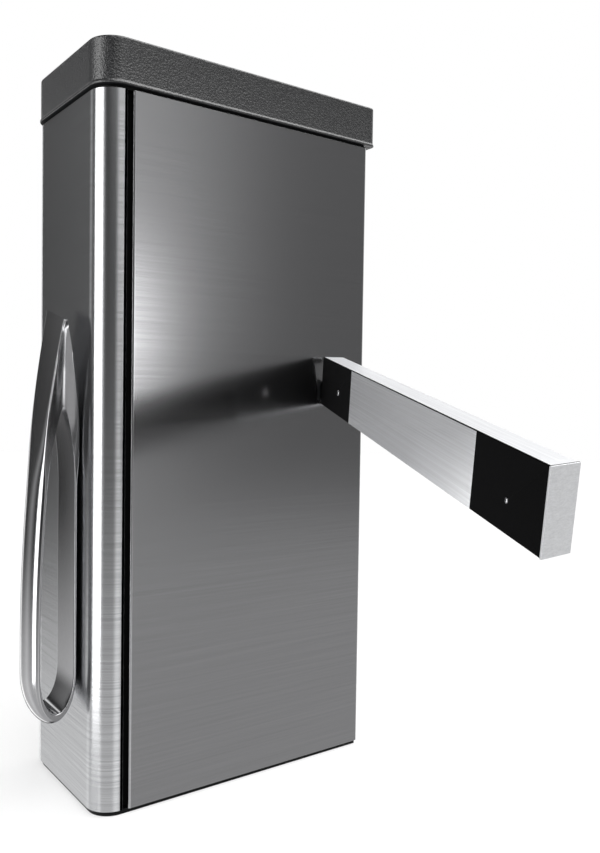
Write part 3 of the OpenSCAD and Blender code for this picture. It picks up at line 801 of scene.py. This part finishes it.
@dataclass
class Handle:
    """The loop pull handle: a broad strap bent to a long drop and closed at its tip.

    Bow, back, bend and eye heights are above the handle's foot. Crown radii
    are added to the edge radii lower down. The two fade and rise pairs are
    shares of the handle's height: where a change starts, and how long it is.
    """

    palette: Palette
    bow_low: float = 104.5
    back_low: float = 324.5
    bend: float = 63.25
    grip_thick: float = 10.0
    back_thick: float = 8.5
    bend_thick: float = 15.0
    tip_out: float = 22.0
    tip_thick: float = 5.0
    tip_slope: float = 17.0
    eye_top: float = 418.0
    eye_round: float = 102.85
    edge_radius: tuple = (2.2, 1.6)
    crown_radius: tuple = (28.6, 6.6)
    crown_fade: tuple = (0.50, 0.34)
    valley: float = 2.2
    valley_rise: tuple = (0.60, 0.14)
    valley_fade: float = 70.0
    swell: float = 3.5
    swell_start: float = 20.0

    def sizes(self) -> tuple[float, float, float, float, float]:
        """Width, reach, foot and tip heights, and the door's face, from the CAD handle."""
        low, high = box_mm("handle_loop")
        face = high[1]
        return high[0] - low[0], face - low[1], low[2], high[2], face

    def grip_out(self, z: np.ndarray) -> np.ndarray:
        """Grip leg's distance from the door: upright, then leaning in with the square of the height."""
        _, reach, foot, tip, _ = self.sizes()
        rise = np.maximum(0, z - foot - self.bow_low) / (tip - foot - self.bow_low)
        return reach - (reach - self.tip_out - self.tip_thick / 2) * rise**2

    def back_out(self, z: np.ndarray) -> np.ndarray:
        """Back leg's distance from the door: on it, then leaning out with the square of the height."""
        _, _, foot, tip, _ = self.sizes()
        rise = np.maximum(0, z - foot - self.back_low) / (tip - foot - self.back_low)
        return (self.tip_out - self.tip_thick / 2) * rise**2

    def leg(self, grip: bool) -> tuple[np.ndarray, np.ndarray]:
        """Outer and eye-side points of one leg, from the bend up to the tip, as (out, height)."""
        _, _, foot, tip, _ = self.sizes()
        low = foot + self.bend
        neck = foot + self.eye_top - self.eye_round
        straight = np.linspace(low, neck, 16)
        share = np.linspace(0, 1, 22)[1:]
        z_out = np.concatenate([straight, neck + (tip - neck) * share])
        turn = np.concatenate([np.zeros(16), share * math.pi / 2])
        z_eye = np.concatenate([straight, neck + self.eye_round * np.sin(turn[16:])])
        front = self.grip_out(z_eye) - self.grip_thick
        back = self.back_out(z_eye) + self.back_thick
        middle, half = (front + back) / 2, (front - back) / 2
        eye = middle + (half if grip else -half) * np.cos(turn)
        outer = self.grip_out(z_out) if grip else self.back_out(z_out)
        return np.stack([outer, z_out], -1), np.stack([eye, z_eye], -1)

    def ring(self) -> tuple[np.ndarray, np.ndarray]:
        """Outer and eye-side points all round the loop: down the grip, round the bend and up the back."""
        _, reach, foot, _, _ = self.sizes()
        grip_outer, grip_eye = self.leg(True)
        back_outer, back_eye = self.leg(False)
        low = foot + self.bend
        outer = arc((reach / 2, low), (reach / 2, self.bend), 0, -180, 24)[1:-1]
        middle = (grip_eye[0] + back_eye[0]) / 2
        half = (grip_eye[0][0] - back_eye[0][0]) / 2
        eye = arc((middle[0], low), (half, self.bend - self.bend_thick), 0, -180, 24)[1:-1]
        return (
            np.concatenate([grip_outer[::-1], outer, back_outer]),
            np.concatenate([grip_eye[::-1], eye, back_eye]),
        )

    def corner_radii(self, z: np.ndarray) -> tuple[np.ndarray, np.ndarray]:
        """Radii of the strap's edges across and through it: crisp at the tip, well crowned lower down."""
        _, _, foot, tip, _ = self.sizes()
        start, length = (share * (tip - foot) for share in self.crown_fade)
        soft = 1 - smooth(np.clip((z - foot - start) / length, 0, 1))
        across, through = (edge + crown * soft for edge, crown in zip(self.edge_radius, self.crown_radius))
        return across, through

    def section(
        self, width: float, depth: np.ndarray, across_r: np.ndarray, through_r: np.ndarray
    ) -> tuple[np.ndarray, np.ndarray]:
        """The strap's section at each point of the ring, from its near outer corner round to its far one.

        It is a rectangle whose corners are quarter ellipses, in the order:
        near outer corner, near side, near and far eye corners, far side and
        far outer corner.

        Args:
            width: The strap's width.
            depth: Its thickness at each ring point, as a column.
            across_r: The outer corners' radius across the strap, as a column.
            through_r: Their radius through its thickness, as a column.

        Returns:
            Distances across the strap and in from its outer face, one row for each ring point.
        """
        turn = np.radians(np.linspace(0, 90, 8))[None]
        rise = np.linspace(0, 1, 11)[None, 1:-1]
        sine, cosine = np.sin(turn), np.cos(turn)
        side = np.ones_like(depth * rise)
        inner_r = np.minimum(1.6, depth * 0.16)
        eye_r = np.minimum(across_r, 2.4)
        along = through_r + (depth - inner_r - through_r) * rise
        across = [
            width - across_r + across_r * sine,
            width * side,
            width - eye_r + eye_r * cosine,
            eye_r - eye_r * sine,
            0 * side,
            across_r - across_r * cosine,
        ]
        inward = [
            through_r - through_r * cosine,
            along,
            depth - inner_r + inner_r * sine,
            depth - inner_r + inner_r * cosine,
            along[:, ::-1],
            through_r - through_r * sine,
        ]
        return np.concatenate(across, 1), np.concatenate(inward, 1)

    def build(self) -> Object:
        """Carries a rounded section round the ring and closes it on itself.

        The section is as deep as the gap between the outer and the eye-side
        point. The grip swells outwards, above the eye the sides sink in
        between the legs, and the tip slopes down to the near side.
        """
        width, _, foot, tip, face = self.sizes()
        low, _ = box_mm("handle_loop")
        outer, eye = self.ring()
        depth = np.linalg.norm(eye - outer, axis=1)[:, None]
        across_r, through_r = (radius[:, None] for radius in self.corner_radii(outer[:, 1]))
        a, b = self.section(width, depth, across_r, np.minimum(through_r, depth * 0.8))
        away = np.clip((outer[:, :1] - self.swell_start) / self.swell_start, 0, 1)
        b = b - self.swell * across_r / across_r.max() * away * (1 - b / depth)
        way = (eye - outer) / depth
        out = outer[:, :1] + way[:, :1] * b
        z = outer[:, 1:] + way[:, 1:] * b
        thick = np.maximum(1, self.grip_out(z) - self.back_out(z))
        share = np.clip((out - self.back_out(z)) / thick, 0, 1)
        start, length = (part * (tip - foot) for part in self.valley_rise)
        upper = np.clip((z - foot - start) / length, 0, 1)
        fade = np.clip((tip - z) / self.valley_fade, 0, 1)
        sink = self.valley * np.sin(np.pi * share) ** 2 * upper * fade
        a = np.clip(a, sink, width - sink)
        crown = foot + self.eye_top
        stretch = (tip - self.tip_slope * a / width - crown) / (tip - crown)
        z = np.where(z > crown, crown + (z - crown) * stretch, z)
        points = np.stack([low[0] + a, face - out, z], -1) * MM
        rows, columns = a.shape
        piece = new_piece("handle_strap", points, grid_faces(rows, columns, True, True).tolist(), 38)
        outward(piece.data)
        return settle(piece, BODY_OF["handle_loop"], "polished_stainless", self.palette, "handle_loop")


@dataclass
class ArmTrim:
    """Small parts that finish the arm: black joint fillets that paint the shade in its joints, and the
    domed heads of pin and screw.

    Lengths are millimetres in the arm's own frame: x along it from its root
    end, y across to the far side and z up from its middle line.
    """

    palette: Palette
    screw: tuple = (611.0, -8.0)
    pin_head: tuple = (4.0, 1.6)
    screw_head: tuple = (2.6, 1.1)
    near: float = -16.0
    top: float = 36.0
    clad: float = 1.5
    step: float = 0.8
    length: float = 669.0
    thickness: float = 32.0
    mitre: float = 22.0
    mitre_gap: float = 2.6
    mitre_line: float = 1.2

    def bar(self, name: str, plan: list, low: float, high: float) -> Object:
        """A flat strip: four corners in plan, from one height to another."""
        flat = np.array(plan, float)
        rows = [np.column_stack([flat, np.full(4, z)]) for z in (low, high)]
        faces = [[0, 3, 2, 1], [4, 5, 6, 7], [0, 1, 5, 4], [1, 2, 6, 5], [2, 3, 7, 6], [3, 0, 4, 7]]
        piece = new_piece(name, from_arm(np.concatenate(rows)), faces)
        outward(piece.data)
        return settle(piece, "arm", "seal_rubber", self.palette)

    def dome(self, name: str, body: str, place: tuple, radius: float, rise: float) -> Object:
        """A shallow domed head on the near side: a quarter ellipse turned about the pin's axis."""
        lift = np.radians(np.linspace(0, 84, 9))[:, None]
        turn = np.radians(np.linspace(0, 360, 33))[:-1][None]
        x = place[0] + radius * np.cos(lift) * np.cos(turn)
        z = place[1] + radius * np.cos(lift) * np.sin(turn)
        y = self.near + 0.4 - (rise + 0.4) * np.sin(lift) * np.ones_like(turn)
        rows, columns = x.shape
        faces = grid_faces(rows, columns, False, True).tolist()
        faces += [list(range(columns)), list(range((rows - 1) * columns, rows * columns))]
        piece = new_piece(name, from_arm(np.stack([x, y, z], -1).reshape(-1, 3)), faces, 45)
        outward(piece.data)
        return settle(piece, body, "polished_stainless", self.palette)

    def build(self) -> None:
        """Black fillets of painted joint shade along the near top edge and along the mitre, and the two
        heads.
        """
        inner = self.near + self.clad
        along = [(0.5, self.near), (self.length, self.near), (self.length, inner), (0.5, inner)]
        # Painted shade: a black strip over the side plate's lit step stands for the joint's shadow.
        self.bar("joint_shade_fillet_side", along, self.top - self.step, self.top + 0.02)
        run = self.thickness * math.tan(math.radians(self.mitre))
        end = self.length + self.mitre_gap
        start, far = end - self.mitre_line, -self.near
        across = [(start, self.near), (end, self.near), (end - run, far), (start - run, far)]
        # Painted shade: a black line across the top at the mitre stands for the joint's shadow.
        self.bar("joint_shade_fillet_end", across, self.top - 0.3, self.top + 0.05)
        self.dome("tilt_pin_head", "carrier", PIN_IN_ARM, *self.pin_head)
        self.dome("tip_screw_head", "arm", self.screw, *self.screw_head)


# How far the edges of a CAD node are broken, in millimetres.
BROKEN = {
    "arm_beam": 0.6,
    "arm_side_plates": 0.25,
    "root_pads": 0.3,
    "tip_pads": 0.3,
    "arm_end_cap": 0.5,
    "rear_cover": 0.4,
    "pivot_bracket": 1.0,
    "arm_carrier": 1.0,
    "base_plate": 0.6,
    "top_deck": 0.4,
}


@dataclass
class Carried:
    """CAD nodes that keep their shape: each gets its finish, and some get small broken edges."""

    palette: Palette
    own_finish: dict = field(default_factory=dict)

    def dress(self, node: str, slot: str) -> None:
        """Finishes one node."""
        thing = frame["nodes"][node]
        material = self.own_finish.get(node) or self.palette.material(slot)
        if not thing.material_slots:
            thing.data.materials.append(material)
        for entry in thing.material_slots:
            entry.material = material
        if node not in BROKEN:
            return
        weld = thing.modifiers.new("weld", "WELD")
        weld.merge_threshold = 0.01 * MM
        break_edges(thing, BROKEN[node], 40)

    def build(self) -> None:
        """Finishes every CAD node by the record's own slots."""
        for entry in frame["record"]["subparts"]:
            self.dress(entry["node"], entry["material_slot"])


# ------------------------------------------------------------------ studio


@dataclass(frozen=True)
class Card:
    """A soft far-off patch of the studio's surround; angles in degrees, azimuth from +X towards +Y."""

    azimuth: float
    elevation: float
    half_width: float
    half_height: float
    soft_width: float
    soft_height: float
    level: float


@dataclass
class Studio:
    """A pale floor and backdrop, a graded surround, one upright softbox and the camera."""

    base_level: float = 0.038
    cards: tuple = (
        Card(101, 15, 45, 75, 8, 10, 0.84),  # behind, wide
        Card(-178, 0, 5, 60, 4, 20, 1.30),  # far side, an upright strip
        Card(-85, -48, 96, 34, 10, 8, 0.66),  # in front, low and wide
        Card(34, -46, 24, 39, 8, 4, 0.345),  # arm side, low
        Card(21, 4.0, 4.5, 4.4, 3.5, 1.8, 2.9),  # arm side, small and bright
        Card(-74, 5, 4, 40, 7, 15, 0.50),  # in front, a thin strip
        Card(21, 18, 9, 17, 7, 4, 0.36),  # just above the small bright one
        Card(0, 10, 13, 40, 9, 10, 0.50),  # straight out from the arm side
        Card(40, 12, 26, 16, 10, 4, 0.10),  # arm side, faint
        Card(30, 60, 75, 20, 25, 10, 3.5),  # overhead on the arm side
        Card(-143, 10, 8, 60, 13, 20, 0.40),  # far front corner, a strip
    )
    key_place: tuple = (0.02, -1.09, 0.74)
    key_size: tuple = (0.60, 1.76)
    key_power: float = 10.5
    key_aim: tuple = (0.05, -0.15)
    floor_glow: float = 0.58
    floor_albedo: float = 0.42
    flag_span: tuple = (150.0, 520.0)
    flag_half_height: float = 37.0
    flag_side: float = -17.5
    flag_root: tuple = (-1.0, 16.5)
    camera_place: tuple = (1.11823, -0.64379, 0.55068)
    camera_turn: tuple = (53.4, 1.97, 0.85)
    lens: float = 35.22

    def world(self) -> None:
        """The surround's level in a direction is the base plus each card's level times two soft edges."""
        world = bpy.data.worlds.new("studio")
        bpy.context.scene.world = world
        world.use_nodes = True
        tree = world.node_tree
        tree.nodes.clear()
        place = add(tree, "TexCoord").outputs["Generated"]
        parts = add(tree, "SeparateXYZ", links={0: place})
        turn = add(tree, "Math", {"operation": "ARCTAN2"}, {0: parts.outputs[1], 1: parts.outputs[0]})
        azimuth = add(tree, "Math", {"operation": "DEGREES"}, {0: turn.outputs[0]}).outputs[0]
        lift = add(tree, "Math", {"operation": "ARCSINE"}, {0: parts.outputs[2]})
        elevation = add(tree, "Math", {"operation": "DEGREES"}, {0: lift.outputs[0]}).outputs[0]
        total = None
        for card in self.cards:
            shifted = add(tree, "Math", {"operation": "SUBTRACT", 1: card.azimuth}, {0: azimuth})
            wrapped = add(tree, "Math", {"operation": "WRAP", 1: 180.0, 2: -180.0}, {0: shifted.outputs[0]})
            raised = add(tree, "Math", {"operation": "SUBTRACT", 1: card.elevation}, {0: elevation})
            sides = (
                (wrapped, card.half_width, card.soft_width),
                (raised, card.half_height, card.soft_height),
            )
            shares = {}
            for k, (offset, half, soft) in enumerate(sides):
                distance = add(tree, "Math", {"operation": "ABSOLUTE"}, {0: offset.outputs[0]})
                settings = {"interpolation_type": "SMOOTHSTEP"}
                settings |= dict(zip(RANGE, (half + soft, half - soft, 0.0, 1.0)))
                shares[k] = add(tree, "MapRange", settings, {"Value": distance.outputs[0]}).outputs[0]
            share = add(tree, "Math", {"operation": "MULTIPLY"}, shares)
            level = add(tree, "Math", {"operation": "MULTIPLY", 1: card.level}, {0: share.outputs[0]})
            links = {0: level.outputs[0]} if total is None else {0: level.outputs[0], 1: total}
            total = add(tree, "Math", {"operation": "ADD", 1: self.base_level}, links).outputs[0]
        light = add(tree, "Background", {"Color": WHITE}, {"Strength": total})
        add(tree, "OutputWorld", links={"Surface": light.outputs[0]})

    def paper(self, name: str, glow: float, albedo: float) -> Material:
        """Matt white paper that is lit from behind a little, so that shadows on it stay pale."""
        material, tree = blank_material(name)
        lit = add(tree, "Emission", {"Color": WHITE, "Strength": glow})
        matt = add(tree, "BsdfDiffuse", {"Color": (albedo, albedo, albedo, 1.0)})
        both = add(tree, "AddShader", links={0: lit.outputs[0], 1: matt.outputs[0]})
        finish_tree(tree, both)
        return material

    def backdrop(self) -> None:
        """A round paper floor, and a paper dome over it: a profile turned about the upright axis."""
        reach = 7.0
        turn = np.radians(np.linspace(0, 360, 97))[:-1]
        ring = np.stack([np.cos(turn), np.sin(turn), np.zeros_like(turn)], -1) * reach
        floor = new_piece("floor", ring, [list(range(96))])
        floor.data.materials.append(self.paper("floor_paper", self.floor_glow, self.floor_albedo))
        lift = np.radians(np.linspace(0, 88, 24))
        across = np.cos(lift)[:, None, None] * ring[None]
        height = np.zeros_like(across)
        height[..., 2] = (np.sin(lift) * reach)[:, None]
        dome = new_piece("dome", across + height, grid_faces(24, 96, False, True).tolist())
        dome.data.materials.append(self.paper("dome_paper", 1.0, 0.0))
        for sheet in (floor, dome):
            sheet.visible_glossy = False
            sheet.visible_diffuse = False
            sheet.visible_transmission = False
            sheet.visible_shadow = False

    def lights(self) -> None:
        """One tall softbox in front of the door, which draws the bright line down the rounded corner."""
        data = bpy.data.lights.new("key_softbox", "AREA")
        data.shape = "RECTANGLE"
        data.size, data.size_y = self.key_size
        data.energy = self.key_power
        light = bpy.data.objects.new("key_softbox", data)
        light.location = self.key_place
        aim = Vector((*self.key_aim, self.key_place[2])) - light.location
        light.rotation_mode = "QUATERNION"
        light.rotation_quaternion = aim.to_track_quat("-Z", "Z")
        light.visible_camera = False
        bpy.context.scene.collection.objects.link(light)

    def flag(self) -> None:
        """A black flag by the arm's near face and its root end, which only mirrored light meets.

        It keeps the arm's reflection in the side panel dark, and rides with the arm.
        """
        (low, high), half = self.flag_span, self.flag_half_height
        root, half_root = self.flag_root
        sides = ((low, -half), (high, -half), (high, half), (low, half))
        corners = [(x, self.flag_side, z) for x, z in sides]
        ends = ((half_root, -half), (-half_root, -half), (-half_root, half), (half_root, half))
        corners += [(root, y, z) for y, z in ends]
        cloth = new_piece("flag", from_arm(np.array(corners)), [[0, 1, 2, 3], [4, 7, 6, 5]])
        material, tree = blank_material("flag_cloth")
        black = add(tree, "BsdfDiffuse", {"Color": (0.004, 0.004, 0.004, 1.0)})
        back = add(tree, "NewGeometry").outputs["Backfacing"]
        clear = add(tree, "BsdfTransparent")
        finish_tree(tree, add(tree, "MixShader", links={0: back, 1: black.outputs[0], 2: clear.outputs[0]}))
        cloth.data.materials.append(material)
        cloth.parent = frame["nodes"]["arm_beam"]
        cloth.visible_camera = False
        cloth.visible_diffuse = False
        cloth.visible_shadow = False

    def camera(self) -> None:
        """A camera at eye level with the arm, turned by azimuth, down-tilt and roll."""
        azimuth, tilt, roll = (math.radians(x) for x in self.camera_turn)
        ahead = Vector(
            (-math.sin(azimuth) * math.cos(tilt), math.cos(azimuth) * math.cos(tilt), -math.sin(tilt))
        )
        right = ahead.cross(Vector((0, 0, 1))).normalized()
        up = right.cross(ahead)
        right, up = (
            right * math.cos(roll) + up * math.sin(roll),
            up * math.cos(roll) - right * math.sin(roll),
        )
        data = bpy.data.cameras.new("camera")
        data.lens = self.lens
        data.sensor_width = 36.0
        data.clip_start, data.clip_end = 0.05, 50.0
        camera = bpy.data.objects.new("camera", data)
        turned = Matrix((right, up, -ahead)).transposed().to_4x4()
        camera.matrix_world = Matrix.Translation(self.camera_place) @ turned
        bpy.context.scene.collection.objects.link(camera)
        bpy.context.scene.camera = camera

    def build(self) -> None:
        """Sets the stage and the tone curve."""
        bpy.context.scene.view_settings.view_transform = "Standard"
        self.world()
        self.backdrop()
        self.lights()
        self.flag()
        self.camera()


def main() -> None:
    """Builds the studio, then each sub-assembly in turn."""
    logging.basicConfig(level=logging.INFO, format="%(message)s")
    palette = Palette()
    Studio().build()
    end_finish = BrushedMetal(
        "aluminium_end_brushed",
        "#f0f1f3",
        0.42,
        grain=Grain.ACROSS_ARM,
        contrast=0.14,
        spacing=1.2 * MM,
        metallic=0.55,
    )
    cover_finish = BrushedMetal("stainless_cover_brushed", "#bfbfc1", 0.28, contrast=0.13, spacing=1.7 * MM)
    own = {"arm_end_cap": end_finish.build(), "rear_cover": cover_finish.build()}
    Carried(palette, own_finish=own).build()
    Cap(palette).build()
    Door(palette).build()
    SidePanels(palette).build()
    Handle(palette).build()
    ArmTrim(palette).build()


if __name__ == "__main__":
    main()
